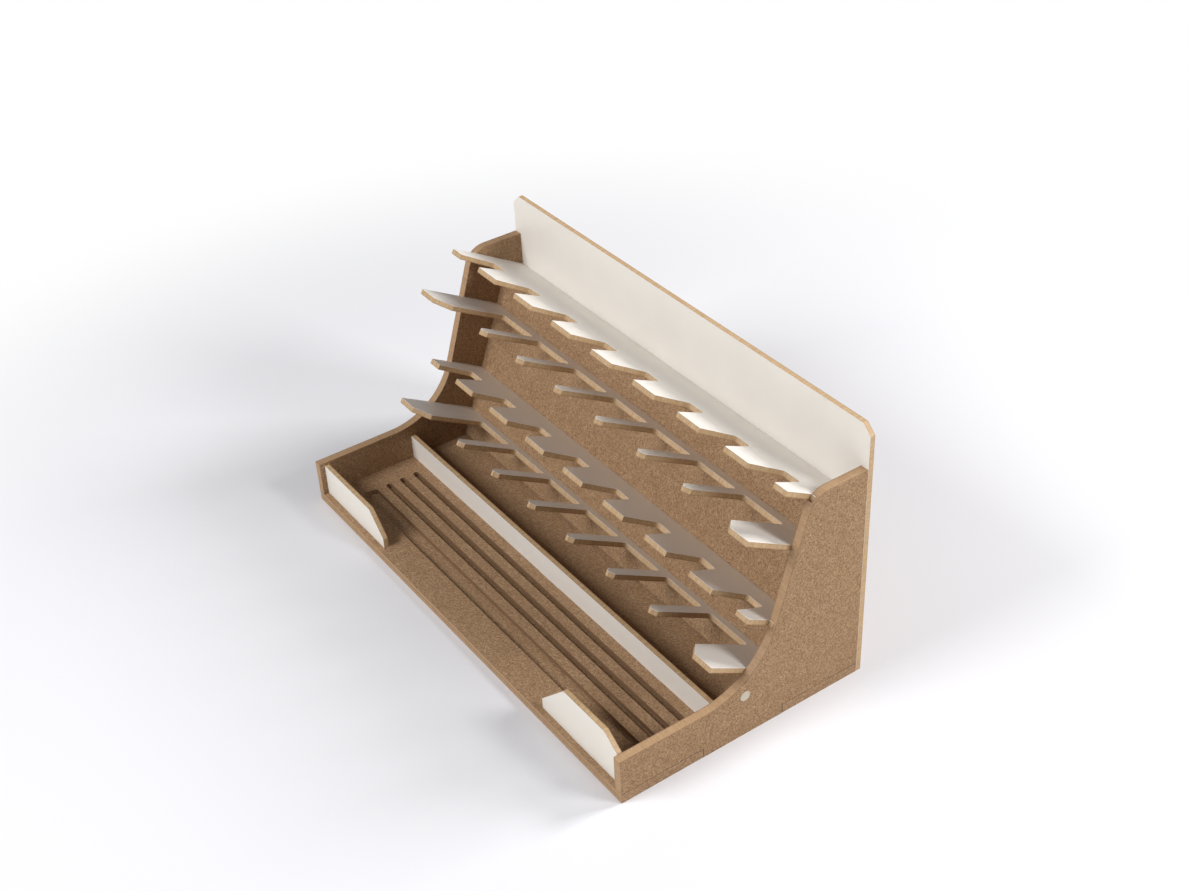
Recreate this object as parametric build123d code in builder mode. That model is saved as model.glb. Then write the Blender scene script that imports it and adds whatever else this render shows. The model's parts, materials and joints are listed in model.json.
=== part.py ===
from build123d import *
import math
import os

# Hobby workstation organizer: a slotted tray in front of four tilted comb shelves.
# Millimetres. X runs along the length, Y from front to back, Z up.
# The origin is the middle of the footprint, on the surface that it stands on.

# ---- overall sizes
length = 300.0
depth = 150.0
back_height = 151.0

# ---- board stock
sheet = 3.0             # white-faced board, and every slotted board
ply = 2.0               # outer layer of the sides
slot_gap = 0.1          # clearance round a tab in its slot

# ---- side profile
rail_height = 27.0
side_drop = 24.0        # top of the sides, below the top of the back panel
rake_foot = 67.5        # from the back to where the raked edge would reach the rail
side_rake = 17.5        # degrees from upright
rail_arc = 44.5
shoulder_arc = 14.0

# ---- base and its tabs
side_tab = 49.0         # front and rear tabs that show through each side
back_tab = 40.0         # tabs through the back panel
back_tab_spread = 200.0
corner_cut = 5.3        # top corners of the back panel

# ---- tray slots
brush_margin = 19.5     # from each end of the slots to the end of the board
wide_slot = 9.2
wide_slot_place = 22.4  # from the front to its middle
narrow_slot = 3.4
narrow_slot_place = 34.5
narrow_slot_step = 9.1
narrow_slot_count = 3
brush_corner = 1.5

# ---- riser strip behind the tray
riser_place = 60.4      # from the front to the strip's white face
riser_height = 15.0
riser_tab = 20.0
riser_tab_spread = 90.0

# ---- front corner plates
plate_place = 3.0       # from the front to the plates' white faces
plate_length = 65.5
plate_end = 6.3         # short upright edge at the plate's free end
left_plate_height = 19.4
right_plate_height = 26.5
right_plate_cut = 11.6  # chamfer at the side, along the top edge
right_plate_drop = 8.6  # and down the side
plate_tab = 20.0

# ---- shelves, as two pairs: an upper one with 8 seats and a lower one with 7
shelf_tilt = 30.0
jar_bays = 8
shelf_reach = 48.2      # from the back to the front edge of the top shelf
shelf_drop = 17.8       # that edge, below the top of the back panel
pair_advance = 21.5     # from pair to pair, towards the front and down
pair_drop = 65.5
inner_advance = 22.5    # within a pair
inner_drop = 18.0

cradle_mouth = 18.6     # seats of the 8-seat shelves
cradle_root = 11.0
cradle_depth = 22.0
trough_width = 29.6     # seats of the 7-seat shelves
trough_depth = 46.0
trough_flare = 8.4      # 45 degree mouth
finger_tip = 1.5        # flat that is left between two flared mouths
seat_corner = 2.0

end_tab = 14.0          # tabs at the ends of each shelf
end_tab_clear = 4.0     # board left between the hidden ones and the rest panel
shoulder_setback = 3.0  # of the top shelf's tabs, behind the raked line at the shoulder
rear_tab = 16.0
rear_tab_spread = 108.75

# ---- raked rest panel behind the lower shelves
rest_rake = 20.3        # degrees from upright
rest_foot = 53.2        # from the back to its front face, on the tray board
rest_tab = 14.0
rest_tab_places = (30.0, 88.0)

# ---- joints between sides and back panel
cheek_tab = 22.0
cheek_tab_places = (36.0, 92.0)

# ---- joining magnets
magnet_diameter = 6.0
magnet_reach = 75.5     # from the back to its middle
magnet_height = 25.3
magnet_gap = 0.05

# ---- dependent sizes
front_y = -depth / 2
back_y = depth / 2
panel_y = back_y - sheet              # front face of the back panel
side_thick = sheet + ply
inner_x = length / 2 - side_thick     # inner face of each side
layer_x = length / 2 - ply            # joint between a side's two layers
base_top = 2 * sheet
side_clear = rail_height - base_top   # rail above the tray board
bay_pitch = 2 * inner_x / jar_bays
tilt = math.radians(shelf_tilt)
rake = math.radians(rest_rake)
side_slope = math.tan(math.radians(side_rake))
side_height = back_height - side_drop
rake_y = back_y - rake_foot
rest_y = back_y - rest_foot
brush_length = length - 2 * brush_margin

seats = (jar_bays, jar_bays - 1, jar_bays, jar_bays - 1)
top_front = back_y - shelf_reach
top_level = back_height - shelf_drop
fronts = [top_front - pair_advance * (k // 2) - inner_advance * (k % 2) for k in range(4)]
levels = [top_level - pair_drop * (k // 2) - inner_drop * (k % 2) for k in range(4)]


def finish(piece, name):
    """Name a finished piece and write it out."""
    piece.part.label = name
    export_step(piece.part, f"parts/{name}.step")


def shelf_plane(k):
    """Top face of shelf k: local X along the front edge, local Y back and down the slope."""
    return Plane(
        origin=(0, fronts[k], levels[k]),
        x_dir=(1, 0, 0),
        z_dir=(0, math.sin(tilt), math.cos(tilt)),
    )


def rest_plane():
    """Front face of the rest panel: local Y up the rake from the tray board."""
    return Plane(
        origin=(0, rest_y, base_top),
        x_dir=(1, 0, 0),
        z_dir=(0, -math.cos(rake), math.sin(rake)),
    )


def shelf_run(k):
    """Length of shelf k down the slope, to the back panel or to the rest panel."""
    if k == 0:
        return (panel_y - fronts[k]) / math.cos(tilt)
    reach = rest_y + (levels[k] - base_top) * math.tan(rake) - fronts[k]
    return reach / (math.cos(tilt) + math.sin(tilt) * math.tan(rake))


def edge_crossing(k):
    """Distance down shelf k at which its top face passes the side's raked edge."""
    reach = rake_y + (levels[k] - rail_height) * side_slope - fronts[k]
    return reach / (math.cos(tilt) + math.sin(tilt) * side_slope)


def end_tab_start(k):
    """The 8-seat shelves show their tabs in the raked edge, the others hide them."""
    if k == 0:
        return edge_crossing(k) + shoulder_setback
    if seats[k] == jar_bays:
        return edge_crossing(k)
    return shelf_run(k) - end_tab_clear - end_tab


def rest_height():
    """Height of the rest panel up its rake, to the underside of the top shelf."""
    foot = rest_y * math.sin(tilt) + base_top * math.cos(tilt)
    top = fronts[0] * math.sin(tilt) + levels[0] * math.cos(tilt) - sheet
    return (top - foot - sheet * math.sin(tilt - rake)) / math.cos(tilt - rake)


def strip(width, low, high, x=0.0):
    """A rectangle in the current sketch between two values of its local Y."""
    with Locations((x, (low + high) / 2)):
        Rectangle(width, high - low)


def both_ends(x):
    return (-x, x)


def side_layer(inner_face, thickness, back_reach):
    """One layer of the right side: raked outline, cut out over the base's tabs."""
    shoulder = rake_y + (side_height - rail_height) * side_slope
    with BuildPart() as layer:
        with BuildSketch(Plane.YZ.offset(inner_face)):
            with BuildLine():
                Polyline(
                    (front_y, 0),
                    (front_y, rail_height),
                    (rake_y, rail_height),
                    (shoulder, side_height),
                    (panel_y, side_height),
                    (panel_y, 0),
                    close=True,
                )
            make_face()
            inside = vertices().filter_by_position(Axis.X, front_y + 1, rake_y + 1)
            fillet(inside.sort_by(Axis.X)[-1], rail_arc)
            upper = vertices().filter_by_position(Axis.Y, side_height - 1, side_height + 1)
            fillet(upper.sort_by(Axis.X)[0], shoulder_arc)
            for start, end in ((front_y, front_y + side_tab), (panel_y - side_tab, panel_y)):
                with Locations(((start + end) / 2, base_top / 2)):
                    Rectangle(end - start, base_top, mode=Mode.SUBTRACT)
            for height in cheek_tab_places:
                with Locations((panel_y + back_reach / 2, height)):
                    if back_reach:
                        Rectangle(back_reach, cheek_tab)
        extrude(amount=thickness)
    return layer


def base_outline():
    """Both base boards: between the sides, with tabs out to the ends and the back."""
    with Locations((0, (front_y + panel_y) / 2)):
        Rectangle(2 * inner_x, panel_y - front_y)
    strip(length, front_y, front_y + side_tab)
    strip(length, panel_y - side_tab, panel_y)
    for x in both_ends(back_tab_spread / 2):
        strip(back_tab, panel_y, back_y, x)


def plate_corners(height, free_end):
    """Outline of a corner plate on the tray board; free_end is -1 where it points to -X."""
    wall = -free_end * inner_x
    tip = wall + free_end * plate_length
    top = base_top + height
    corners = [(wall, base_top), (wall, top)]
    if height > side_clear:
        corners = [
            (wall, base_top),
            (wall, top - right_plate_drop),
            (wall + free_end * right_plate_cut, top),
        ]
    return corners + [
        (tip - free_end * (height - plate_end), top),
        (tip, base_top + plate_end),
        (tip, base_top),
    ]


def shelf_outline(k):
    """Shelf k seen along its normal: comb with seats, end tabs and rear tabs."""
    run = shelf_run(k)
    strip(2 * inner_x, 0, run)
    strip(2 * layer_x, end_tab_start(k), end_tab_start(k) + end_tab)
    count = seats[k]
    seat_places = [((i - (count - 1) / 2) * bay_pitch, 0) for i in range(count)]
    with BuildSketch(mode=Mode.PRIVATE) as seat:
        with BuildLine():
            if count == jar_bays:
                Polyline(
                    (-cradle_mouth / 2, 0),
                    (-cradle_root / 2, cradle_depth),
                    (cradle_root / 2, cradle_depth),
                    (cradle_mouth / 2, 0),
                    close=True,
                )
            else:
                half = trough_width / 2
                Polyline(
                    (-half - trough_flare, 0),
                    (-half, trough_flare),
                    (-half, trough_depth),
                    (half, trough_depth),
                    (half, trough_flare),
                    (half + trough_flare, 0),
                    close=True,
                )
        make_face()
        fillet(vertices().group_by(Axis.Y)[-1], seat_corner)
    with Locations(*seat_places):
        add(seat.sketch, mode=Mode.SUBTRACT)
    if count < jar_bays:
        tip_y = trough_flare - (bay_pitch - trough_width - finger_tip) / 2
        with Locations((0, tip_y / 2)):
            Rectangle((count - 1) * bay_pitch, tip_y, mode=Mode.SUBTRACT)


def rear_tabs(start, end, margin=0.0):
    """Three tabs behind a shelf, or with a margin the slots that take them."""
    for x in (-rear_tab_spread, 0, rear_tab_spread):
        strip(rear_tab + 2 * margin, start, end, x)


os.makedirs("parts", exist_ok=True)

# ---- base: a plain board under a slotted one
with BuildPart() as base_board:
    with BuildSketch(Plane.XY):
        base_outline()
    extrude(amount=sheet)
finish(base_board, "base_board")

with BuildPart() as tray_board:
    with BuildSketch(Plane.XY.offset(sheet)):
        base_outline()
        with Locations((0, front_y + wide_slot_place)):
            RectangleRounded(brush_length, wide_slot, brush_corner, mode=Mode.SUBTRACT)
        for i in range(narrow_slot_count):
            with Locations((0, front_y + narrow_slot_place + i * narrow_slot_step)):
                RectangleRounded(brush_length, narrow_slot, brush_corner, mode=Mode.SUBTRACT)
        for x in (-riser_tab_spread, 0, riser_tab_spread):
            with Locations((x, front_y + riser_place + sheet / 2)):
                Rectangle(riser_tab + 2 * slot_gap, sheet + 2 * slot_gap, mode=Mode.SUBTRACT)
        for x in both_ends(inner_x - plate_length / 2):
            with Locations((x, front_y + plate_place + sheet / 2)):
                Rectangle(plate_tab + 2 * slot_gap, sheet + 2 * slot_gap, mode=Mode.SUBTRACT)
    extrude(amount=sheet)
finish(tray_board, "tray_board")

# ---- back panel: full length, white in front, with chamfered top corners
with BuildPart() as back_panel:
    with BuildSketch(Plane.XZ.offset(-back_y)):
        strip(length, 0, back_height)
        chamfer(vertices().group_by(Axis.Y)[-1], corner_cut)
        for x in both_ends(back_tab_spread / 2):
            with Locations((x, base_top / 2)):
                Rectangle(back_tab + 2 * slot_gap, base_top, mode=Mode.SUBTRACT)
        for x in both_ends(inner_x + sheet / 2):
            for height in cheek_tab_places:
                with Locations((x, height)):
                    Rectangle(
                        sheet + 2 * slot_gap,
                        cheek_tab + 2 * slot_gap,
                        mode=Mode.SUBTRACT,
                    )
    extrude(amount=sheet)
finish(back_panel, "back_panel")

# ---- sides: a slotted inner layer and a smooth outer one
inner_blank = side_layer(inner_x, sheet, sheet)
with BuildPart() as side_inner:
    add(inner_blank.part)
    for k in range(4):
        start = end_tab_start(k)
        mouth = start - slot_gap
        if seats[k] == jar_bays:
            mouth = 0
        with BuildSketch(shelf_plane(k).offset(slot_gap)):
            strip(sheet, mouth, start + end_tab + slot_gap, inner_x + sheet / 2)
        extrude(amount=-(sheet + 2 * slot_gap), mode=Mode.SUBTRACT)
    for place in rest_tab_places:
        with BuildSketch(rest_plane().offset(slot_gap)):
            with Locations((inner_x + sheet / 2, place)):
                Rectangle(sheet, rest_tab + 2 * slot_gap)
        extrude(amount=-(sheet + 2 * slot_gap), mode=Mode.SUBTRACT)

with BuildPart() as side_outer:
    add(side_layer(layer_x, ply, 0).part)
    with BuildSketch(Plane.YZ.offset(layer_x)):
        with Locations((back_y - magnet_reach, magnet_height)):
            Circle(magnet_diameter / 2 + magnet_gap)
    extrude(amount=ply, mode=Mode.SUBTRACT)

with BuildPart() as magnet:
    with BuildSketch(Plane.YZ.offset(layer_x)):
        with Locations((back_y - magnet_reach, magnet_height)):
            Circle(magnet_diameter / 2)
    extrude(amount=ply)

for blank, name in ((side_inner, "side_inner"), (side_outer, "side_outer"), (magnet, "magnet")):
    with BuildPart() as left_piece:
        add(mirror(blank.part, about=Plane.YZ, mode=Mode.PRIVATE))
    finish(blank, f"right_{name}")
    finish(left_piece, f"left_{name}")

# ---- shelves: tilted combs, slotted into the sides and the rest panel
for k in range(4):
    with BuildPart() as shelf:
        with BuildSketch(shelf_plane(k)):
            shelf_outline(k)
            if k > 0:
                rear_tabs(shelf_run(k), shelf_run(k) + sheet / math.cos(tilt - rake))
        extrude(amount=-sheet)
    finish(shelf, f"shelf_{k + 1}")

with BuildPart() as rest_panel:
    with BuildSketch(rest_plane()):
        strip(2 * inner_x, sheet * math.tan(rake), rest_height())
        for place in rest_tab_places:
            strip(2 * layer_x, place - rest_tab / 2, place + rest_tab / 2)
    extrude(amount=-sheet)
    for k in range(1, 4):
        with BuildSketch(shelf_plane(k).offset(slot_gap)):
            rear_tabs(shelf_run(k) - sheet, shelf_run(k) + 3 * sheet, slot_gap)
        extrude(amount=-(sheet + 2 * slot_gap), mode=Mode.SUBTRACT)
finish(rest_panel, "rest_panel")

# ---- riser strip: white face towards the tray, tabs down into it
with BuildPart() as riser:
    with BuildSketch(Plane.XZ.offset(-front_y - riser_place)):
        strip(2 * inner_x, base_top, base_top + riser_height)
        for x in (-riser_tab_spread, 0, riser_tab_spread):
            strip(riser_tab, sheet, base_top, x)
    extrude(amount=-sheet)
finish(riser, "riser")

# ---- front corner plates: white faces to the front, one tab each
for side_name, height, free_end in (("left", left_plate_height, 1), ("right", right_plate_height, -1)):
    with BuildPart() as plate:
        with BuildSketch(Plane.XZ.offset(-front_y - plate_place)):
            with BuildLine():
                Polyline(*plate_corners(height, free_end), close=True)
            make_face()
            strip(plate_tab, sheet, base_top, -free_end * (inner_x - plate_length / 2))
        extrude(amount=-sheet)
    finish(plate, f"{side_name}_plate")
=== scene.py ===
# %% [markdown]
# # A desk organizer for model makers, dressed for its picture
# The real one is a kit of thin fibreboard, cut by a laser and glued: a low slotted tray in
# front, and behind it four tilted comb shelves between two raked sides. The boards' shapes
# are already solids, so this lesson is about what a photograph adds: crisp but not razor-sharp
# arrises, the brown fibre of the boards, the white facing with its thin line at every cut,
# and soft studio light.

import json
import math

import bmesh
import bpy
from mathutils import Matrix, Vector

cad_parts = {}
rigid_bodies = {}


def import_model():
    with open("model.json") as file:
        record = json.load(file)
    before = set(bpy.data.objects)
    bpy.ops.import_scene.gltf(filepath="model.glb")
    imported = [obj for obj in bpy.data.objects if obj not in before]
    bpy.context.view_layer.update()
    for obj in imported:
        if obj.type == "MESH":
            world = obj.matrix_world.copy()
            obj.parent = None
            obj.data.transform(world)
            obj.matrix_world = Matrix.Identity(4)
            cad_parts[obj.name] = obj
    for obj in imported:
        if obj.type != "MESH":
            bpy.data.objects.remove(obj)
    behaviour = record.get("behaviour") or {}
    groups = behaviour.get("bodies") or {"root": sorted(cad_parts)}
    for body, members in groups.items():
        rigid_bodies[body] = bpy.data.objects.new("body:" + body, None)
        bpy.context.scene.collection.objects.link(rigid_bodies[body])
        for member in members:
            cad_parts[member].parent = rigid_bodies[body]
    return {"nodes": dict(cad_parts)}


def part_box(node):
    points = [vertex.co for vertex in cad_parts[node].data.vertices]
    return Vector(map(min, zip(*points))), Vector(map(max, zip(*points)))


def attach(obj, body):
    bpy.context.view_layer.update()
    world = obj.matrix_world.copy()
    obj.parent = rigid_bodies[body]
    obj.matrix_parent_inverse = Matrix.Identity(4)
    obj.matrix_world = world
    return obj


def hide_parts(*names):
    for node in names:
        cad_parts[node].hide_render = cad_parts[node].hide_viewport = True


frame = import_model()
nodes = frame["nodes"]
for stray in [thing for thing in bpy.data.objects if thing.type != "EMPTY"]:
    if stray not in nodes.values():
        bpy.data.objects.remove(stray)
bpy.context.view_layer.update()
MM = 0.001

# %% [markdown]
# ## Helpers for the node trees
# Blender's trees are long to write by hand, and most lines say the same thing: add a node,
# set a few of its options and values, and connect its inputs. One function does all of it.
# A tuple of (node, socket name) is a link, anything else is a value. A new material or world
# brings nodes of its own, so a second function empties its tree first.

# %% Add a node with its settings and links
def add(tree, kind, settings=None, **inputs):
    node = tree.nodes.new(kind)
    for name, value in (settings or {}).items():
        setattr(node, name, value)
    for name, value in inputs.items():
        key = int(name[1:]) if name[0] == "_" else name.replace("__", " ")
        socket = node.inputs[key]
        if isinstance(value, tuple) and isinstance(value[0], bpy.types.Node):
            tree.links.new(value[0].outputs[value[1]], socket)
        else:
            socket.default_value = value
    return node


def emptied_tree(owner):
    """The node tree of a material or a world, with nothing in it."""
    owner.use_nodes = True
    owner.node_tree.nodes.clear()
    return owner.node_tree


def linear(code):
    """An sRGB hex colour as the linear RGBA that shaders use."""
    parts = [int(code[i:i + 2], 16) / 255 for i in (1, 3, 5)]
    return (*[c / 12.92 if c <= 0.04045 else ((c + 0.055) / 1.055) ** 2.4 for c in parts], 1)


print("mid fibreboard brown is", [round(c, 3) for c in linear("#AE8D6A")])

# %% [markdown]
# ## From loose triangles to whole boards
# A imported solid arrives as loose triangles, and on those no modifier can find the arrises.
# A copy is merged: doubled corners become one, and flat triangles dissolve into the large
# faces that a saw or a laser leaves. The frame's own mesh stays as it is, and the copy
# stands for it.

# %% Merge a copy
merge_distance = 0.005 * MM
flat_angle = math.radians(0.6)      # faces that turn less than this are one face


def linked(name, data):
    """A new object in the scene."""
    thing = bpy.data.objects.new(name, data)
    bpy.context.scene.collection.objects.link(thing)
    return thing


def merged_copy(node, name):
    mesh = nodes[node].data.copy()
    mesh.name = name
    clean(mesh)
    return linked(name, mesh)


def clean(mesh):
    form = bmesh.new()
    form.from_mesh(mesh)
    bmesh.ops.remove_doubles(form, verts=form.verts, dist=merge_distance)
    bmesh.ops.dissolve_limit(form, angle_limit=flat_angle, verts=form.verts, edges=form.edges)
    bmesh.ops.recalc_face_normals(form, faces=form.faces)
    form.to_mesh(mesh)
    form.free()
    if "custom_normal" in mesh.attributes:
        mesh.attributes.remove(mesh.attributes["custom_normal"])
    mesh.shade_smooth()


sample = merged_copy("tray_board", "sample")
print("tray board:", len(nodes["tray_board"].data.polygons), "triangles become",
      len(sample.data.polygons), "faces")
bpy.data.objects.remove(sample)

# %% [markdown]
# ### What every finished board needs
# A real arris is never quite sharp, and one that is gives a computed picture away. A bevel
# modifier rounds only the edges that turn sharply, so flat faces stay flat. The finished
# board then takes the place of its solid.

# %% Soften the arrises of a board, and let it stand for its solid
sharp_angle = math.radians(35)      # edges that turn more than this are arrises
arris_width = 0.15 * MM


def soften(piece, width):
    arris = piece.modifiers.new("arris", "BEVEL")
    arris.width = width
    arris.segments = 2
    arris.limit_method = "ANGLE"
    arris.angle_limit = sharp_angle
    arris.harden_normals = True


def stands_for(piece, slot, *names):
    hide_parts(*names)
    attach(piece, "root")


def highest_along(piece, normal):
    return max(corner.co.dot(Vector(normal)) for corner in piece.data.vertices)


print("arrises are", round(arris_width / MM, 2), "mm wide, where an edge turns more than",
      round(math.degrees(sharp_angle)), "degrees")

# %% [markdown]
# ## Medium-density fibreboard, raw and cut by laser
# The board is wood taken apart into fibres, a few millimetres long at most, and pressed
# with resin. Its face is matt and mid brown, speckled with darker bark and lighter fibre,
# and mottled in patches some 10 mm wide. The laser leaves a smoother tan edge: fine streaks
# run through the thickness where the beam pulsed, and each arris is scorched in a line some
# tenths of a millimetre wide. Some boards are faced in white melamine, a paper set in resin,
# satin and very slightly warm; at a cut it shows as a white line 0.15 mm thick.
#
# All of that follows from where a point lies in its board, so one function paints every
# board: it is told which way the good face looks and how far out that face is. The normal
# tells face from edge, and the depth below the face places the scorch and the facing.

# %% [markdown]
# ### Fibre
# What the eye takes for fibre is a tangle of short lines, a little lighter than the resin
# round them. One noise looks like sand, so three are drawn out in different directions, and
# the lightest wins. Bark and a slow mottling lie over them. Blender's scale counts a
# pattern's cells in a metre, and the values here count them in a millimetre.

# %% Colour the pressed fibre
fibres_per_mm, flecks_per_mm, patches_per_mm = 1.25, 1.1, 0.1
strand_length = 2.4                 # times its width
strand_turns = ((0.4, 0.3, 0.6), (1.3, 0.9, 2.1), (0.7, 2.2, 1.2))


def pressed_fibre(tree, place):
    """The mottled colour, the colour without mottling, the fibres' tone and their height."""
    # strands about 0.8 by 2 mm, wider than real fibres so that they show: three patterns,
    # each drawn out in its own direction, and the strongest of them at every point
    strands = []
    for turn in strand_turns:
        laid = add(tree, "ShaderNodeMapping", {"vector_type": "TEXTURE"}, Vector=(place, "Object"),
                   Rotation=turn, Scale=(strand_length, 1, 1))
        strands.append(add(tree, "ShaderNodeTexNoise", Vector=(laid, 0), Scale=fibres_per_mm / MM,
                           Detail=5.0, Roughness=0.64, Distortion=0.8))
    two = add(tree, "ShaderNodeMath", {"operation": "MAXIMUM"}, _0=(strands[0], 0), _1=(strands[1], 0))
    fibre = add(tree, "ShaderNodeMath", {"operation": "MAXIMUM"}, _0=(two, 0), _1=(strands[2], 0))
    tone = add(tree, "ShaderNodeMapRange", Value=(fibre, 0), From__Min=0.47, From__Max=0.70)
    ground = add(tree, "ShaderNodeMix", {"data_type": "RGBA"}, _0=(tone, 0),
                 _6=linear("#836144"), _7=linear("#D0AF88"))
    # flecks of bark, about 0.9 mm, one every few millimetres
    bark = add(tree, "ShaderNodeTexNoise", Vector=(place, "Object"), Scale=flecks_per_mm / MM,
               Detail=1.0, Roughness=0.5, Distortion=1.6)
    fleck = add(tree, "ShaderNodeMapRange", Value=(bark, 0), From__Min=0.60, From__Max=0.70,
                To__Max=0.6)
    flecked = add(tree, "ShaderNodeMix", {"data_type": "RGBA"}, _0=(fleck, 0), _6=(ground, 2),
                  _7=linear("#5F442D"))
    # mottling over 10 mm
    cloud = add(tree, "ShaderNodeTexNoise", Vector=(place, "Object"), Scale=patches_per_mm / MM,
                Detail=3.0, Roughness=0.6)
    patch = add(tree, "ShaderNodeMapRange", Value=(cloud, 0), From__Min=0.3, From__Max=0.7,
                To__Min=0.0, To__Max=0.28)
    raw = add(tree, "ShaderNodeMix", {"data_type": "RGBA"}, _0=(patch, 0), _6=(flecked, 2),
              _7=linear("#916C48"))
    return raw, flecked, tone, fibre


print("fibre cells of", round(1 / fibres_per_mm, 2), "mm, patches of", round(1 / patches_per_mm), "mm")

# %% [markdown]
# ### Laser cuts
# A cut is smoother than a face and darkest at its two arrises, where the beam went in and
# out. The streaks are a noise of their own, stretched along the board's normal. The walls of
# the tray's slots are darkened all the way down: painted shade, for the shadow in them.

# %% Colour a cut edge
streaks_per_mm = 1.7
squeeze = -0.93                     # this share of the way along the normal is taken off
scorch_reach = (0.15 * MM, 0.6 * MM)    # from full strength to none, in from an arris
face_share = 0.25                   # how much of the face's colour shows in a cut
# how dark the painted shade on the tray's slot walls is
slot_shade_strength = 0.65
# the long slots lie within slots_reach of slots_middle along Y, and within
# slots_half_length of the organizer's middle along X
slots_middle, slots_reach, slots_half_length = -35 * MM, 30 * MM, 135 * MM


def laser_cut(tree, place, along, depth, normal, thickness, flecked, white, slotted):
    """The colour of a cut edge, with painted shade on the tray's slot walls, and the streaks that roughen
    it.
    """
    # streaks through the thickness, 0.6 mm apart: the pattern is stretched along the normal
    shift = add(tree, "ShaderNodeVectorMath", {"operation": "SCALE"}, _0=tuple(normal),
                Scale=(along, "Value"))
    drawn = add(tree, "ShaderNodeVectorMath", {"operation": "MULTIPLY_ADD"}, _0=(shift, 0),
                _1=(squeeze, squeeze, squeeze), _2=(place, "Object"))
    pulse = add(tree, "ShaderNodeTexNoise", Vector=(drawn, 0), Scale=streaks_per_mm / MM, Detail=3.0)
    streak = add(tree, "ShaderNodeMapRange", Value=(pulse, 0), From__Min=0.3, From__Max=0.7)
    core = ("#C09B6E", "#DCC29B") if white else ("#AB8763", "#C09E7A")
    smooth = add(tree, "ShaderNodeMix", {"data_type": "RGBA"}, _0=(streak, 0),
                 _6=linear(core[0]), _7=linear(core[1]))
    tan = add(tree, "ShaderNodeMix", {"data_type": "RGBA"}, _0=face_share, _6=(smooth, 2),
              _7=(flecked, 2))
    behind = add(tree, "ShaderNodeMath", {"operation": "SUBTRACT"}, _0=thickness, _1=(depth, 0))
    nearest = add(tree, "ShaderNodeMath", {"operation": "MINIMUM"}, _0=(depth, 0), _1=(behind, 0))
    scorch = add(tree, "ShaderNodeMapRange", Value=(nearest, 0), From__Min=scorch_reach[0],
                 From__Max=scorch_reach[1], To__Min=0.7 if white else 0.45, To__Max=0.0)
    # painted shade: the walls of the narrow slots are darkened, for the shadow deep in them
    apart = add(tree, "ShaderNodeSeparateXYZ", Vector=(place, "Object"))
    inside = add(tree, "ShaderNodeMath", {"operation": "COMPARE"}, _0=(apart, "Y"),
                 _1=slots_middle, _2=slots_reach)
    between = add(tree, "ShaderNodeMath", {"operation": "COMPARE"}, _0=(apart, "X"), _1=0.0,
                  _2=slots_half_length)
    slot_area = add(tree, "ShaderNodeMath", {"operation": "MULTIPLY"}, _0=(inside, 0), _1=(between, 0))
    slot_shade = add(tree, "ShaderNodeMath", {"operation": "MULTIPLY"}, _0=(slot_area, 0),
                _1=slot_shade_strength if slotted else 0.0)
    # the real scorch at the arrises and the painted shade on the slot walls darken the cut
    scorch_and_slot_shade = add(tree, "ShaderNodeMath", {"operation": "MAXIMUM"}, _0=(slot_shade, 0), _1=(scorch, 0))
    scorched_and_shaded = add(tree, "ShaderNodeMix", {"data_type": "RGBA"}, _0=(scorch_and_slot_shade, 0), _6=(tan, 2),
                _7=linear("#A3764B" if white else "#64462F"))
    return scorched_and_shaded, streak


print("streaks", round(1 / streaks_per_mm, 2), "mm apart, scorched",
      round(scorch_reach[1] / MM, 2), "mm in")

# %% [markdown]
# ### Tab ends
# The base's tabs come out through both sides and were sanded flush with them, so their ends
# look like a face and not like a cut. What shows is the joint: a dark line along the top, and
# a short tick where a tab's own length ends.

# %% Colour the sanded ends of the base's tabs
face_range = {"From__Min": 0.80, "From__Max": 0.93}     # how squarely a point faces a way
tab_length = 49 * MM
half_tick = 0.45 * MM
base_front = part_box("base_board")[0].y
panel_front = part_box("back_panel")[0].y
tab_ends = (base_front + tab_length, panel_front - tab_length)
seam_reach = (0.25 * MM, 0.6 * MM)      # from full strength to none, in from the top face


def tab_end(tree, place, depth, raw, scorched_and_shaded, sanded_ends, slotted):
    """The colour of all edges, with the tab ends sanded flush so that they look like faces."""
    sides = add(tree, "ShaderNodeSeparateXYZ", Vector=(place, "Normal"))
    apart = add(tree, "ShaderNodeSeparateXYZ", Vector=(place, "Object"))
    end = add(tree, "ShaderNodeMath", {"operation": "ABSOLUTE"}, _0=(sides, "X"))
    flush = add(tree, "ShaderNodeMapRange", Value=(end, 0), To__Max=1.0 if sanded_ends else 0.0,
                **face_range)
    seam = add(tree, "ShaderNodeMapRange", Value=(depth, 0), From__Min=seam_reach[0],
               From__Max=seam_reach[1], To__Min=0.75 if slotted else 0.0, To__Max=0.0)
    front_tick = add(tree, "ShaderNodeMath", {"operation": "COMPARE"}, _0=(apart, "Y"),
                     _1=tab_ends[0], _2=half_tick)
    rear_tick = add(tree, "ShaderNodeMath", {"operation": "COMPARE"}, _0=(apart, "Y"),
                    _1=tab_ends[1], _2=half_tick)
    ticks = add(tree, "ShaderNodeMath", {"operation": "MAXIMUM"}, _0=(front_tick, 0), _1=(rear_tick, 0))
    joint = add(tree, "ShaderNodeMath", {"operation": "MAXIMUM"}, _0=(seam, 0), _1=(ticks, 0))
    seamed = add(tree, "ShaderNodeMix", {"data_type": "RGBA"}, _0=(joint, 0), _6=(raw, 2),
                 _7=linear("#4A3323"))
    # the cut carries the scorch at its arrises and the painted shade on the slot walls
    cut = add(tree, "ShaderNodeMix", {"data_type": "RGBA"}, _0=(flush, 0), _6=(scorched_and_shaded, 2),
              _7=(seamed, 2))
    return cut


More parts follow.
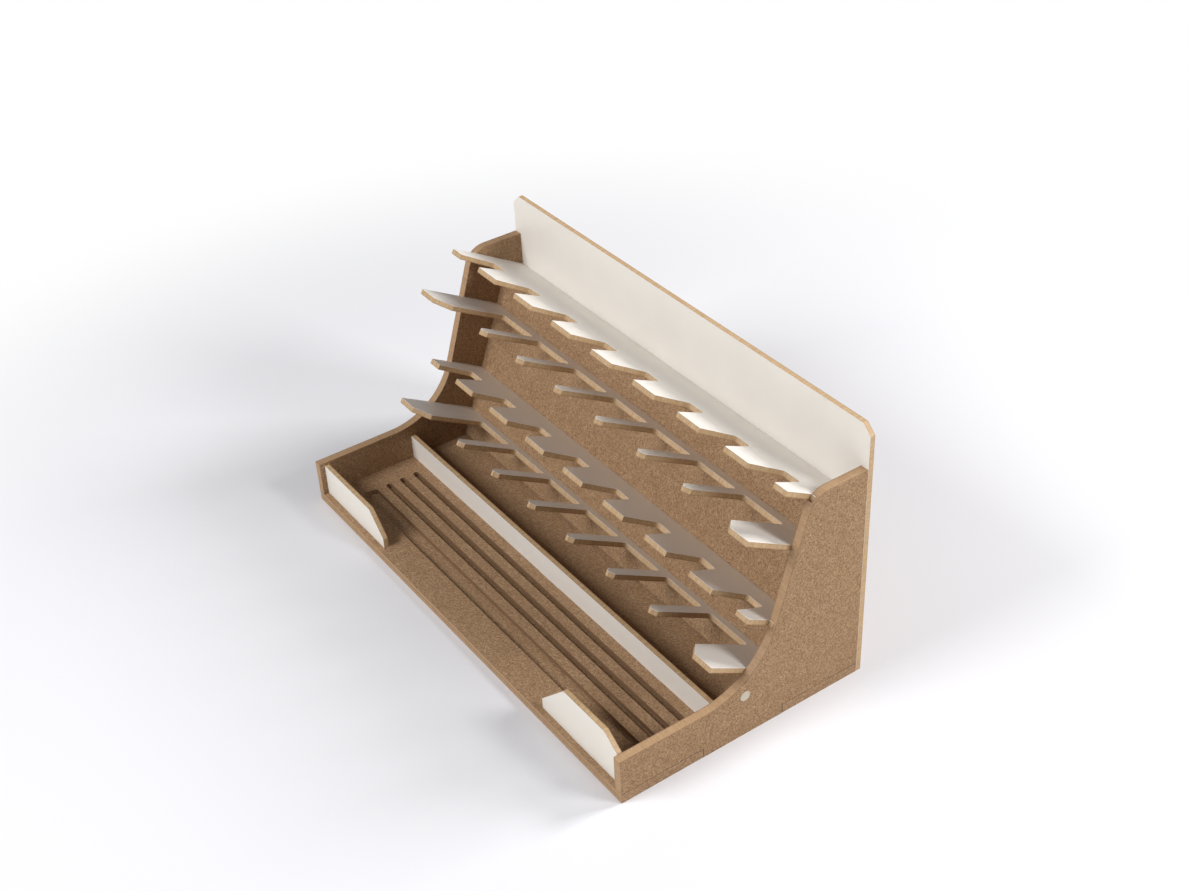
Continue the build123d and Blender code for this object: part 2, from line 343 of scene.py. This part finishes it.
print("base tabs end at", [round(end / MM, 1) for end in tab_ends], "mm, with ticks",
      round(2 * half_tick / MM, 2), "mm wide")

# %% [markdown]
# ### The whole skin
# The last function puts the pieces together: fibre or facing on a face, a cut on an edge,
# and a white line where the facing itself is cut.

# %% Paint a board from the way that its good face looks
clouds_per_mm = 0.045
facing_edge = (0.14 * MM, 0.20 * MM)    # the facing is 0.15 mm thick, with a soft edge


def board_skin(name, normal, level, thickness, white=False, sanded_ends=False, slotted=False):
    """A board's material, when its good face looks along the normal and is level metres out."""
    skin = bpy.data.materials.new(name)
    tree = emptied_tree(skin)
    place = add(tree, "ShaderNodeTexCoord")
    facing = add(tree, "ShaderNodeVectorMath", {"operation": "DOT_PRODUCT"},
                 _0=(place, "Normal"), _1=tuple(normal))
    along = add(tree, "ShaderNodeVectorMath", {"operation": "DOT_PRODUCT"},
                _0=(place, "Object"), _1=tuple(normal))
    depth = add(tree, "ShaderNodeMath", {"operation": "SUBTRACT"}, _0=level, _1=(along, "Value"))
    either = add(tree, "ShaderNodeMath", {"operation": "ABSOLUTE"}, _0=(facing, "Value"))
    on_face = add(tree, "ShaderNodeMapRange", Value=(either, 0), **face_range)
    on_front = add(tree, "ShaderNodeMapRange", Value=(facing, "Value"), **face_range)
    raw, flecked, tone, fibre = pressed_fibre(tree, place)
    # a cut edge, scorched at its arrises, with painted shade on the tray's slot walls
    scorched_and_shaded, streak = laser_cut(tree, place, along, depth, normal, thickness, flecked, white, slotted)
    cut = tab_end(tree, place, depth, raw, scorched_and_shaded, sanded_ends, slotted)

    # melamine facing, with faint clouds some 22 mm wide
    haze = add(tree, "ShaderNodeTexNoise", Vector=(place, "Object"), Scale=clouds_per_mm / MM, Detail=4.0)
    facing_tone = add(tree, "ShaderNodeMix", {"data_type": "RGBA"}, _0=(haze, 0),
                      _6=linear("#F4F0EA"), _7=linear("#ECE6DE"))
    line = add(tree, "ShaderNodeMapRange", Value=(depth, 0), From__Min=facing_edge[0],
               From__Max=facing_edge[1], To__Min=float(white), To__Max=0.0)
    edge = add(tree, "ShaderNodeMix", {"data_type": "RGBA"}, _0=(line, 0), _6=(cut, 2),
               _7=(facing_tone, 2))
    covered = add(tree, "ShaderNodeMath", {"operation": "MULTIPLY"}, _0=(on_front, 0),
                  _1=float(white))
    face = add(tree, "ShaderNodeMix", {"data_type": "RGBA"}, _0=(covered, 0), _6=(raw, 2),
               _7=(facing_tone, 2))
    colour = add(tree, "ShaderNodeMix", {"data_type": "RGBA"}, _0=(on_face, 0), _6=(edge, 2),
                 _7=(face, 2))

    # raw fibre is matt, a cut is a little glazed by heat, melamine is satin
    matt = add(tree, "ShaderNodeMapRange", Value=(fibre, 0), From__Min=0.45, From__Max=0.7,
               To__Min=0.72, To__Max=0.9)
    glazed = add(tree, "ShaderNodeMix", {"data_type": "FLOAT"}, _0=(on_face, 0), _2=0.6, _3=(matt, 0))
    gloss = add(tree, "ShaderNodeMix", {"data_type": "FLOAT"}, _0=(covered, 0), _2=(glazed, 0), _3=0.42)
    nap = add(tree, "ShaderNodeMix", {"data_type": "FLOAT"}, _0=(on_face, 0), _2=(streak, 0), _3=(tone, 0))
    relief = add(tree, "ShaderNodeMix", {"data_type": "FLOAT"}, _0=(covered, 0), _2=(nap, 0), _3=(haze, 0))
    bump = add(tree, "ShaderNodeBump", Strength=0.5, Distance=0.05 * MM, Height=(relief, 0))
    shader = add(tree, "ShaderNodeBsdfPrincipled", Base__Color=(colour, 2), Roughness=(gloss, 0),
                 Normal=(bump, 0), IOR=1.5)
    add(tree, "ShaderNodeOutputMaterial", Surface=(shader, 0))
    return skin


print("facing clouds of", round(1 / clouds_per_mm), "mm")

# %% [markdown]
# ## Flat boards
# Seven boards need no more than their merged shape, a softened arris and their skin. The arris
# of a laser cut is crisp, so it gets 0.15 mm, just enough to catch the light. Each board's
# normal is the way its better face looks: towards the user, up, or up the rake.

# %% Dress the flat boards
sheet = 3 * MM
rake = math.radians(20.3)
front = (0, -1, 0)
up = (0, 0, 1)
up_rake = (0, -math.cos(rake), math.sin(rake))
flat_boards = (
    ("base_board", up, False),
    ("tray_board", up, False),
    ("back_panel", front, True),
    ("riser", front, True),
    ("left_plate", front, True),
    ("right_plate", front, True),
    ("rest_panel", up_rake, False),
)
for node, normal, white in flat_boards:
    board = merged_copy(node, node + "_dressed")
    level = highest_along(board, normal)
    board.data.materials.clear()
    board.data.materials.append(
        board_skin(("white_faced_board_" if white else "raw_fibreboard_") + node,
                   normal, level, sheet, white, sanded_ends=normal == up,
                   slotted=node == "tray_board"))
    soften(board, arris_width)
    stands_for(board, "white_faced_fibreboard" if white else "raw_fibreboard", node)
    print(node, len(board.data.polygons), "faces, good face", round(level / MM, 2), "mm out")

# %% [markdown]
# ## Sides
# Each side is a slotted board with a thinner smooth one glued over it, and on the real
# edge no joint shows between them: glue and sanding close it. Two dressed boards would
# leave a groove there, so an exact boolean joins the two copies into one board 5 mm thick,
# and the scorched lines stay on its two outer arrises only.

# %% Join and dress the two layers of each side
side_thickness = 5 * MM
for hand, outward in (("left", (-1, 0, 0)), ("right", (1, 0, 0))):
    inner = merged_copy(f"{hand}_side_inner", hand + "_inner")
    side = merged_copy(f"{hand}_side_outer", hand + "_side")
    glue = side.modifiers.new("glue", "BOOLEAN")
    glue.operation = "UNION"
    glue.solver = "EXACT"
    glue.object = inner
    joined = bpy.data.meshes.new_from_object(
        side.evaluated_get(bpy.context.evaluated_depsgraph_get()))
    side.modifiers.remove(glue)
    side.data = joined
    joined.name = hand + "_side"
    clean(joined)
    bpy.data.objects.remove(inner)
    level = highest_along(side, outward)
    joined.materials.clear()
    joined.materials.append(
        board_skin(f"raw_fibreboard_{hand}_side", outward, level, side_thickness))
    soften(side, arris_width)
    stands_for(side, "raw_fibreboard", f"{hand}_side_inner", f"{hand}_side_outer")
    print(hand, "side", len(joined.polygons), "faces")

# %% [markdown]
# ## Comb shelves by rule
# A shelf is a board with the same seat cut out again and again: a narrow tapered cradle, or
# a wide trough with a flared mouth. That is a rule, so Geometry Nodes make all four from one
# tree. The object that carries the modifier is a punch, the solid that one seat takes out.
# The tree sets a row of punches along the front edge, cuts them out of a board with its
# tabs, and tilts the result into place. Another pitch or number of seats is then only
# another value.

# %% Start the tree and its inputs
comb = bpy.data.node_groups.new("comb_shelf", "GeometryNodeTree")
comb.is_modifier = True
sockets = (
    ("Punch", "NodeSocketGeometry"), ("Seats", "NodeSocketInt"), ("Pitch", "NodeSocketFloat"),
    ("Length", "NodeSocketFloat"), ("Run", "NodeSocketFloat"), ("Thickness", "NodeSocketFloat"),
    ("Tab Start", "NodeSocketFloat"), ("Tab Length", "NodeSocketFloat"),
    ("Tab Reach", "NodeSocketFloat"), ("Rear Tabs", "NodeSocketInt"),
    ("Rear Width", "NodeSocketFloat"), ("Rear Reach", "NodeSocketFloat"),
    ("Rear Spread", "NodeSocketFloat"), ("Tip Cut", "NodeSocketFloat"),
    ("Front Edge", "NodeSocketVector"), ("Tilt", "NodeSocketFloat"),
    ("Board", "NodeSocketMaterial"),
)
for name, kind in sockets:
    comb.interface.new_socket(name, in_out="INPUT", socket_type=kind)
comb.interface.new_socket("Shelf", in_out="OUTPUT", socket_type="NodeSocketGeometry")
size = add(comb, "NodeGroupInput")
print("the tree has", len(sockets), "inputs")

# %% [markdown]
# ### The board with its tabs
# The end tabs are one longer bar through the board, and the rear tabs are a row of blocks on
# its back edge. A union makes them one solid with the board, which hangs below its top face.

# %% Join the board and its tabs
middle = add(comb, "ShaderNodeMath", {"operation": "MULTIPLY"}, _0=(size, "Run"), _1=0.5)
sunk = add(comb, "ShaderNodeMath", {"operation": "MULTIPLY"}, _0=(size, "Thickness"), _1=-0.5)
blank_size = add(comb, "ShaderNodeCombineXYZ", X=(size, "Length"), Y=(size, "Run"),
                 Z=(size, "Thickness"))
blank_place = add(comb, "ShaderNodeCombineXYZ", Y=(middle, 0), Z=(sunk, 0))
blank_cube = add(comb, "GeometryNodeMeshCube", Size=(blank_size, 0))
blank = add(comb, "GeometryNodeTransform", Geometry=(blank_cube, 0), Translation=(blank_place, 0))
bar_length = add(comb, "ShaderNodeMath", {"operation": "MULTIPLY_ADD"}, _0=(size, "Tab Reach"),
                 _1=2.0, _2=(size, "Length"))
bar_middle = add(comb, "ShaderNodeMath", {"operation": "MULTIPLY_ADD"}, _0=(size, "Tab Length"),
                 _1=0.5, _2=(size, "Tab Start"))
bar_size = add(comb, "ShaderNodeCombineXYZ", X=(bar_length, 0), Y=(size, "Tab Length"),
               Z=(size, "Thickness"))
bar_place = add(comb, "ShaderNodeCombineXYZ", Y=(bar_middle, 0), Z=(sunk, 0))
bar_cube = add(comb, "GeometryNodeMeshCube", Size=(bar_size, 0))
bar = add(comb, "GeometryNodeTransform", Geometry=(bar_cube, 0), Translation=(bar_place, 0))

# the rear tabs' row is centred on the board
rear_size = add(comb, "ShaderNodeCombineXYZ", X=(size, "Rear Width"), Y=(size, "Rear Reach"),
                Z=(size, "Thickness"))
rear_cube = add(comb, "GeometryNodeMeshCube", Size=(rear_size, 0))
rear_less = add(comb, "ShaderNodeMath", {"operation": "SUBTRACT"}, _0=(size, "Rear Tabs"), _1=1.0)
rear_half = add(comb, "ShaderNodeMath", {"operation": "MULTIPLY"}, _0=(rear_less, 0), _1=-0.5)
rear_first = add(comb, "ShaderNodeMath", {"operation": "MULTIPLY"}, _0=(rear_half, 0),
                 _1=(size, "Rear Spread"))
rear_start = add(comb, "ShaderNodeCombineXYZ", X=(rear_first, 0), Y=(size, "Run"), Z=(sunk, 0))
rear_step = add(comb, "ShaderNodeCombineXYZ", X=(size, "Rear Spread"))
rear_row = add(comb, "GeometryNodeMeshLine", Count=(size, "Rear Tabs"),
               Start__Location=(rear_start, 0), Offset=(rear_step, 0))
rear = add(comb, "GeometryNodeInstanceOnPoints", Points=(rear_row, 0), Instance=(rear_cube, 0))
tabbed = add(comb, "GeometryNodeMeshBoolean", {"operation": "UNION", "solver": "EXACT"})
for part in (blank, bar, rear):
    comb.links.new(part.outputs[0], tabbed.inputs["Mesh 2"])
print("board and tabs:", len(comb.nodes), "nodes so far")

# %% [markdown]
# ### The row of seats
# The punches stand at the pitch, and between flared mouths a strip takes off the tips, which
# would be too sharp. One exact difference cuts all of it, and the comb tilts into place.

# %% Cut the seats, and tilt the comb into place
less = add(comb, "ShaderNodeMath", {"operation": "SUBTRACT"}, _0=(size, "Seats"), _1=1.0)
row = add(comb, "ShaderNodeMath", {"operation": "MULTIPLY"}, _0=(less, 0), _1=(size, "Pitch"))
first = add(comb, "ShaderNodeMath", {"operation": "MULTIPLY"}, _0=(row, 0), _1=-0.5)
start = add(comb, "ShaderNodeCombineXYZ", X=(first, 0))
step = add(comb, "ShaderNodeCombineXYZ", X=(size, "Pitch"))
line = add(comb, "GeometryNodeMeshLine", Count=(size, "Seats"), Start__Location=(start, 0),
           Offset=(step, 0))
punches = add(comb, "GeometryNodeInstanceOnPoints", Points=(line, 0), Instance=(size, "Punch"))
both = add(comb, "ShaderNodeMath", {"operation": "MULTIPLY"}, _0=(size, "Tip Cut"), _1=2.0)
deep = add(comb, "ShaderNodeMath", {"operation": "MULTIPLY"}, _0=(size, "Thickness"), _1=4.0)
strip_size = add(comb, "ShaderNodeCombineXYZ", X=(row, 0), Y=(both, 0), Z=(deep, 0))
strip_cube = add(comb, "GeometryNodeMeshCube", Size=(strip_size, 0))
blunt = add(comb, "FunctionNodeCompare", {"data_type": "FLOAT", "operation": "GREATER_THAN"},
            _0=(size, "Tip Cut"), _1=0.0)
strip = add(comb, "GeometryNodeSwitch", {"input_type": "GEOMETRY"}, Switch=(blunt, 0),
            _2=(strip_cube, 0))
toothed = add(comb, "GeometryNodeMeshBoolean", {"operation": "DIFFERENCE", "solver": "EXACT"})
comb.links.new(tabbed.outputs["Mesh"], toothed.inputs["Mesh 1"])
comb.links.new(punches.outputs[0], toothed.inputs["Mesh 2"])
comb.links.new(strip.outputs[0], toothed.inputs["Mesh 2"])

fall = add(comb, "ShaderNodeMath", {"operation": "MULTIPLY"}, _0=(size, "Tilt"), _1=-1.0)
turn = add(comb, "ShaderNodeCombineXYZ", X=(fall, 0))
tilted = add(comb, "GeometryNodeTransform", Geometry=(toothed, "Mesh"),
             Translation=(size, "Front Edge"), Rotation=(turn, 0))
real = add(comb, "GeometryNodeRealizeInstances", Geometry=(tilted, 0))
made = add(comb, "GeometryNodeSetMaterial", Geometry=(real, 0), Material=(size, "Board"))
add(comb, "NodeGroupOutput", Shelf=(made, 0))
print("comb shelf tree:", len(comb.nodes), "nodes")

# %% [markdown]
# ## The punches
# A punch is the outline of one seat, drawn flat from its own sizes and then made as deep as
# the board with a little to spare. It also starts in front of the board's edge: an exact
# boolean copes with faces that coincide, but a cut that overshoots is cleaner. The two inner
# corners have a radius of 2 mm, because thin board splits from a sharp one.

# %% Round a corner
def rounded(before, corner, after, radius, steps=6):
    """Points of the arc that replaces a corner."""
    before, corner, after = Vector(before), Vector(corner), Vector(after)
    into = (corner - before).normalized()
    out = (after - corner).normalized()
    sign = 1 if into.x * out.y - into.y * out.x > 0 else -1
    turn = into.angle(out)
    reach = radius * math.tan(turn / 2)
    start = corner - into * reach
    middle = start + Vector((-into.y, into.x)) * sign * radius
    arm = start - middle
    points = []
    for i in range(steps + 1):
        angle = sign * turn * i / steps
        cos, sin = math.cos(angle), math.sin(angle)
        points.append(middle + Vector((arm.x * cos - arm.y * sin, arm.x * sin + arm.y * cos)))
    return points


print("a square corner becomes", len(rounded((0, 0), (1, 0), (1, 1), 0.5)), "points")

# %% Draw the two seats and make them punches
seat_corner = 2 * MM


def punch(name, outline):
    """A closed prism through the board's thickness, from the right half of an outline."""
    outline = [Vector(point) for point in outline]
    half = outline[:-2] + rounded(outline[-3], outline[-2], outline[-1], seat_corner)
    ring = half + [Vector((-point.x, point.y)) for point in reversed(half)]
    form = bmesh.new()
    lower = [form.verts.new((point.x, point.y, -2 * sheet)) for point in ring]
    upper = [form.verts.new((point.x, point.y, sheet)) for point in ring]
    form.faces.new(list(reversed(lower)))
    form.faces.new(upper)
    for i in range(len(ring)):
        j = (i + 1) % len(ring)
        form.faces.new((lower[i], lower[j], upper[j], upper[i]))
    bmesh.ops.recalc_face_normals(form, faces=form.faces)
    mesh = bpy.data.meshes.new(name)
    form.to_mesh(mesh)
    form.free()
    return mesh


cradle_mouth, cradle_root, cradle_depth = 18.6 * MM, 11 * MM, 22 * MM
trough_width, trough_depth, flare = 29.6 * MM, 46 * MM, 8.4 * MM
spare = 2 * MM      # how far a punch starts in front of the board
taper = (cradle_mouth - cradle_root) / 2 / cradle_depth
cradle_punch = punch("cradle_punch", (
    (cradle_mouth / 2 + spare * taper, -spare), (cradle_root / 2, cradle_depth), (0, cradle_depth)))
trough_punch = punch("trough_punch", (
    (trough_width / 2 + flare + spare, -spare), (trough_width / 2, flare),
    (trough_width / 2, trough_depth), (0, trough_depth)))
print("punches:", len(cradle_punch.polygons), "and", len(trough_punch.polygons), "faces")

# %% [markdown]
# ## Four shelves from the tree
# The sizes that belong to a seat are named above. Where a shelf sits, how far it runs and
# where its tabs are is measured from the frame, so that the dressed shelf is where the solid
# one is. The volume of each is printed beside the solid's, as a check on the rule.

# %% Name what all four shelves share, and measure a volume
def volume_of(mesh):
    form = bmesh.new()
    form.from_mesh(mesh)
    bmesh.ops.remove_doubles(form, verts=form.verts, dist=merge_distance)
    size = form.calc_volume()
    form.free()
    return size / MM ** 3


tilt = math.radians(30)
shelf_normal = (0, math.sin(tilt), math.cos(tilt))
inner_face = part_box("riser")[1].x
cradles, troughs = 8, 7
pitch = 2 * inner_face / cradles
finger_tip = 1.5 * MM           # flat that is left between two flared mouths
rear_width, rear_spread = 16 * MM, 108.75 * MM
into_wall = 1 * MM              # a point further out than this is on an end tab
print("seats every", round(pitch / MM, 2), "mm")

# %% Set the values for each shelf and keep its plain mesh
for number, seats in enumerate((cradles, troughs, cradles, troughs), start=1):
    node = f"shelf_{number}"
    low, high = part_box(node)
    edge = Vector((0, low.y + sheet * math.sin(tilt), high.z))
    down = [((corner.co.y - edge.y) * math.cos(tilt) - (corner.co.z - edge.z) * math.sin(tilt),
             abs(corner.co.x)) for corner in nodes[node].data.vertices]
    tabs = [run for run, out in down if out > inner_face + into_wall]
    rear = 0 if number == 1 else 3
    rear_reach = sheet / math.cos(tilt - rake)
    run = max(run for run, out in down) - (rear_reach if rear else 0)
    tip_cut = flare - (pitch - trough_width - finger_tip) / 2 if seats == troughs else 0.0
    skin = board_skin("white_faced_board_" + node, shelf_normal,
                      edge.dot(Vector(shelf_normal)), sheet, True)
    rule = linked(node + "_rule", cradle_punch if seats == cradles else trough_punch)
    grown = rule.modifiers.new("comb", "NODES")
    grown.node_group = comb
    # a rear tab's block is centred on the board's edge, so half of its length is inside
    values = {
        "Seats": seats, "Pitch": pitch, "Length": 2 * inner_face, "Run": run, "Thickness": sheet,
        "Tab Start": min(tabs), "Tab Length": max(tabs) - min(tabs), "Tab Reach": high.x - inner_face,
        "Rear Tabs": rear, "Rear Width": rear_width, "Rear Reach": 2 * rear_reach,
        "Rear Spread": rear_spread, "Tip Cut": tip_cut, "Front Edge": edge, "Tilt": tilt,
        "Board": skin,
    }
    for socket in comb.interface.items_tree:
        if socket.item_type == "SOCKET" and socket.name in values:
            grown[socket.identifier] = values[socket.name]
    mesh = bpy.data.meshes.new_from_object(
        rule.evaluated_get(bpy.context.evaluated_depsgraph_get()))
    mesh.name = "comb_" + node
    clean(mesh)
    bpy.data.objects.remove(rule)
    shelf = linked("comb_" + node, mesh)
    if not mesh.materials:
        mesh.materials.append(skin)
    print(node, "volume", round(volume_of(mesh)), "mm3, solid", round(volume_of(nodes[node].data)),
          "mm3,", len(mesh.polygons), "faces")
    soften(shelf, arris_width)
    stands_for(shelf, "white_faced_fibreboard", node)

# %% [markdown]
# ## Magnets
# A flush disc of nickel-plated magnet in each side lets two organizers stand joined. Nickel
# is a slightly warm grey metal; tumbled and plated, it is satin, so it mirrors the pale
# studio only as a soft sheen. A rounded rim and a fine scratch pattern are all it shows.

# %% Dress the two magnets
scratches_per_mm = 2.5
rim_width = 0.25 * MM
nickel = bpy.data.materials.new("nickel_plating")
tree = emptied_tree(nickel)
place = add(tree, "ShaderNodeTexCoord")
wear = add(tree, "ShaderNodeTexNoise", Vector=(place, "Object"),
           Scale=scratches_per_mm / MM, Detail=4.0)
sheen = add(tree, "ShaderNodeMapRange", Value=(wear, 0), From__Min=0.3, From__Max=0.7,
            To__Min=0.38, To__Max=0.55)
tint = add(tree, "ShaderNodeMix", {"data_type": "RGBA"}, _0=(wear, 0), _6=linear("#D9D3C6"),
           _7=linear("#C9C2B4"))
dents = add(tree, "ShaderNodeBump", Strength=0.2, Distance=0.02 * MM, Height=(wear, 0))
metal = add(tree, "ShaderNodeBsdfPrincipled", Base__Color=(tint, 2), Roughness=(sheen, 0),
            Normal=(dents, 0), Metallic=0.85)
add(tree, "ShaderNodeOutputMaterial", Surface=(metal, 0))
for hand in ("left", "right"):
    disc = merged_copy(f"{hand}_magnet", hand + "_magnet_dressed")
    disc.data.materials.clear()
    disc.data.materials.append(nickel)
    soften(disc, rim_width)
    stands_for(disc, "nickel_plated_magnet", f"{hand}_magnet")
    print(hand, "magnet", [round(size / MM, 2) for size in disc.dimensions], "mm")

# %% [markdown]
# ## Camera
# The photograph looks down on the front right corner. The camera's position and the two
# directions below were solved from corners of the boards that can be found in it, and its up
# is square to both. A camera looks along its own negative Z, so the third column is the
# forward direction turned round.

# %% Place the camera
photo_place = (0.6104, -0.3853, 0.6066)
aim = Vector((0, 0, 0.06))      # the organizer's middle
eye = bpy.data.cameras.new("photo_camera")
eye.lens = 51.94
eye.sensor_width = 36
eye.sensor_fit = "HORIZONTAL"
eye.clip_start = 0.01
camera = linked("photo_camera", eye)
bpy.context.scene.camera = camera
forward = Vector((-0.67692, 0.44868, -0.58349)).normalized()
right = Vector((0.57711, 0.81557, -0.04237)).normalized()
turned = Matrix((right, right.cross(forward), -forward)).transposed().to_4x4()
camera.matrix_world = Matrix.Translation(photo_place) @ turned
print("camera", round((camera.location - aim).length, 3), "m from the middle")

# %% [markdown]
# ## Studio
# The organizer stands on a white sweep. The floor's colour makes the background white, not
# more light: near the organizer it is paper that takes the shadows, and further out, for the
# camera alone, it turns to plain white.

# %% Lay the floor
floor_reach = 6.0
paper_ends, white_starts = 0.30, 0.55       # metres from the middle
floor_mesh = bpy.data.meshes.new("floor")
corners = [(x * floor_reach, y * floor_reach, 0) for x, y in ((-1, -1), (1, -1), (1, 1), (-1, 1))]
floor_mesh.from_pydata(corners, [], [(0, 1, 2, 3)])
floor = linked("floor", floor_mesh)
sweep = bpy.data.materials.new("white_paper_sweep")
tree = emptied_tree(sweep)
ray = add(tree, "ShaderNodeLightPath")
paper = add(tree, "ShaderNodeMix", {"data_type": "RGBA"}, _0=(ray, "Is Camera Ray"),
            _6=linear("#E4E1DD"), _7=linear("#EBEBEF"))
soft = add(tree, "ShaderNodeBsdfDiffuse", Color=(paper, 2))
white = add(tree, "ShaderNodeEmission", Strength=1.0)
place = add(tree, "ShaderNodeTexCoord")
far = add(tree, "ShaderNodeVectorMath", {"operation": "LENGTH"}, _0=(place, "Object"))
away = add(tree, "ShaderNodeMapRange", {"interpolation_type": "SMOOTHSTEP"}, Value=(far, "Value"),
           From__Min=paper_ends, From__Max=white_starts)
seen = add(tree, "ShaderNodeMath", {"operation": "MULTIPLY"}, _0=(away, 0), _1=(ray, "Is Camera Ray"))
both = add(tree, "ShaderNodeMixShader", _0=(seen, 0), _1=(soft, 0), _2=(white, 0))
add(tree, "ShaderNodeOutputMaterial", Surface=(both, 0))
floor_mesh.materials.append(sweep)
print("paper to", paper_ends, "m from the middle, plain white from", white_starts, "m")

# %% [markdown]
# ### Soft boxes
# In the photograph a wide soft shadow falls to the left and forward, past the front edge, and
# a fainter one behind on the right. The tip of the first gives the main light: 33 degrees up,
# behind and 18 degrees to the right. A second soft box on the right keeps the near side
# light, and one in front lights the white faces.

# %% Set up the soft boxes
def soft_box(name, place, size, power):
    lamp = bpy.data.lights.new(name, "AREA")
    lamp.shape = "SQUARE"
    lamp.size = size
    lamp.energy = power
    box = linked(name, lamp)
    box.location = place
    box.rotation_euler = (aim - Vector(place)).to_track_quat("-Z", "Y").to_euler()
    print(name, "at", [round(c, 2) for c in place], power, "W")


soft_box("rear_soft_box", (0.39, 1.19, 0.885), 0.4, 14.5)
soft_box("side_soft_box", (1.05, 0.65, 0.85), 0.4, 9.0)
soft_box("front_soft_box", (-0.20, -1.10, 0.98), 0.6, 14.5)

# %% [markdown]
# ### Light from all round
# A white room sends a little light from everywhere, which keeps the shadows open. The camera
# sees that room as plain white, at a strength that the organizer never gets.

# %% Surround the organizer with a little light
surround = 0.17     # strength of the world's light on the organizer
world = bpy.data.worlds.new("studio")
bpy.context.scene.world = world
tree = emptied_tree(world)
ray = add(tree, "ShaderNodeLightPath")
level = add(tree, "ShaderNodeMapRange", Value=(ray, "Is Camera Ray"), To__Min=surround, To__Max=1.0)
glow = add(tree, "ShaderNodeBackground", Color=linear("#FFFFFF"), Strength=(level, 0))
add(tree, "ShaderNodeOutputWorld", Surface=(glow, 0))
bpy.context.scene.view_settings.view_transform = "Standard"
print("the world's strength is", surround, "on the organizer, and 1 for the camera")
